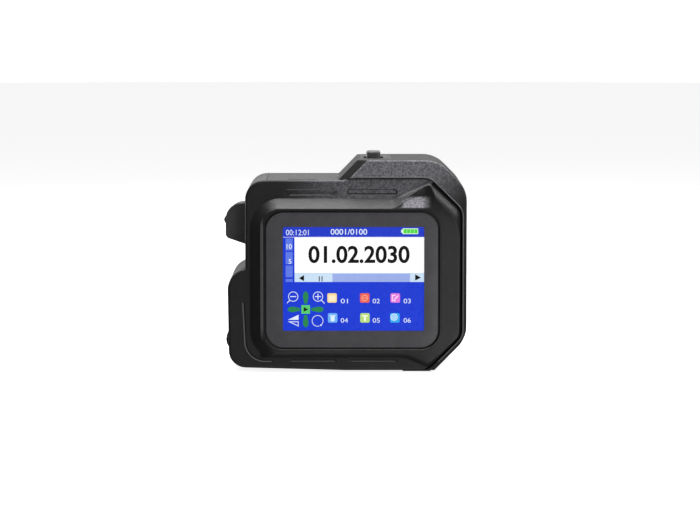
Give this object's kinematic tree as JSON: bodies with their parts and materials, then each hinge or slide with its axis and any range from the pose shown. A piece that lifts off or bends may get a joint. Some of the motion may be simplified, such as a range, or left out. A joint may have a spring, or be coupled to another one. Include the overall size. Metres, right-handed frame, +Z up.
{
  "type": "handheld inkjet coder",
  "caption": "Palm-held inkjet coder with colour screen, side print head with guide rollers, top print button and lidded cartridge bay.",
  "frame": {"origin": "middle of the bounding box's base, on the plane that the feet rest on", "axes": "+Z up, screen faces -Y, print face -X, palm grip +X"},
  "size_m": [0.12, 0.076, 0.1075],
  "materials": {
    "abs_black": "fine textured black ABS",
    "abs_panel": "satin dark grey ABS",
    "lens": "dark tinted acrylic, hard coated",
    "screen": "lit colour screen",
    "foam": "thin black foam",
    "board": "green solder mask",
    "chip": "moulded epoxy",
    "ribbon": "amber polyimide",
    "steel": "bright steel",
    "black_steel": "black oxide",
    "brass": "gold flashed contact",
    "cell_wrap": "shrink wrap",
    "tray": "grey nylon",
    "ink": "black cartridge body",
    "rubber": "soft black rubber",
    "silicone": "translucent silicone",
    "light": "clear light pipe",
    "button": "satin black button"
  },
  "bodies": {
    "housing": {"battery_cell_lower": "cell_wrap", "battery_cell_upper": "cell_wrap", "battery_tray": "tray", "board_components": "chip", "board_screws": "steel", "button_board": "board", "button_dome": "silicone", "button_plate": "abs_panel", "buzzer": "chip", "cartridge_carriage": "tray", "charging_socket": "steel", "contact_block": "chip", "display_lens": "lens", "display_screws": "steel", "door_hinge_pin": "steel", "encoder_sensor": "board", "front_shell": "abs_black", "grip_hood": "abs_black", "ink_cartridge": "ink", "latch_pin": "steel", "lcd_frame": "abs_panel", "lcd_panel": "screen", "lcd_ribbon": "ribbon", "lens_gasket": "foam", "lower_axle": "steel", "main_board": "board", "nose_axle_front": "steel", "nose_axle_rear": "steel", "nose_cover": "abs_panel", "nozzle_plate": "brass", "port_hinge_pin": "steel", "power_switch": "chip", "rear_board": "board", "rear_shell": "abs_black", "rubber_feet": "rubber", "shell_screws": "black_steel", "status_light": "light", "sync_bracket": "tray"},
    "door": {"cartridge_door": "abs_panel"},
    "latch": {"cartridge_latch": "tray"},
    "print_key": {"print_button": "button"},
    "power_key": {"power_button": "button"},
    "port_flap": {"port_cover": "rubber"},
    "front_nose_roller": {"nose_roller_front": "rubber"},
    "rear_nose_roller": {"nose_roller_rear": "rubber"},
    "guide_roller": {"lower_roller": "rubber"},
    "sync": {"sync_wheel": "button", "sync_tyre": "rubber", "sync_shaft": "steel", "encoder_magnet": "steel"}
  },
  "joints": [
    {"name": "cartridge_door_hinge", "type": "hinge", "parent": "housing", "child": "door", "pos_m": [-0.021, 0.0325, 0.0928], "axis": [-1, 0, 0], "range_deg": [0, 100]},
    {"name": "cartridge_latch_pivot", "type": "hinge", "parent": "housing", "child": "latch", "pos_m": [-0.0038, 0, 0.07], "axis": [0, 1, 0], "range_deg": [0, 35]},
    {"name": "print_button_press", "type": "slide", "parent": "housing", "child": "print_key", "axis": [0, 0, -1], "range_m": [0, 0.0012], "stiffness_N_per_m": 700, "springref_m": -0.001, "deforming": ["button_dome"]},
    {"name": "power_button_press", "type": "slide", "parent": "housing", "child": "power_key", "axis": [0, -1, 0], "range_m": [0, 0.001], "stiffness_N_per_m": 500, "springref_m": -0.0008},
    {"name": "port_cover_hinge", "type": "hinge", "parent": "housing", "child": "port_flap", "pos_m": [0.0591, -0.0188, 0.061], "axis": [0, 0, 1], "range_deg": [0, 95]},
    {"name": "nose_roller_front_spin", "type": "hinge", "parent": "housing", "child": "front_nose_roller", "pos_m": [-0.0578, -0.0133, 0.0739], "axis": [0, 1, 0], "continuous": true},
    {"name": "nose_roller_rear_spin", "type": "hinge", "parent": "housing", "child": "rear_nose_roller", "pos_m": [-0.0578, 0.0133, 0.0739], "axis": [0, 1, 0], "continuous": true},
    {"name": "lower_roller_spin", "type": "hinge", "parent": "housing", "child": "guide_roller", "pos_m": [-0.056, 0.028, 0.012], "axis": [0, 1, 0], "continuous": true},
    {"name": "sync_wheel_spin", "type": "hinge", "parent": "housing", "child": "sync", "pos_m": [-0.053, 0.009, 0.012], "axis": [0, 1, 0], "continuous": true}
  ]
}
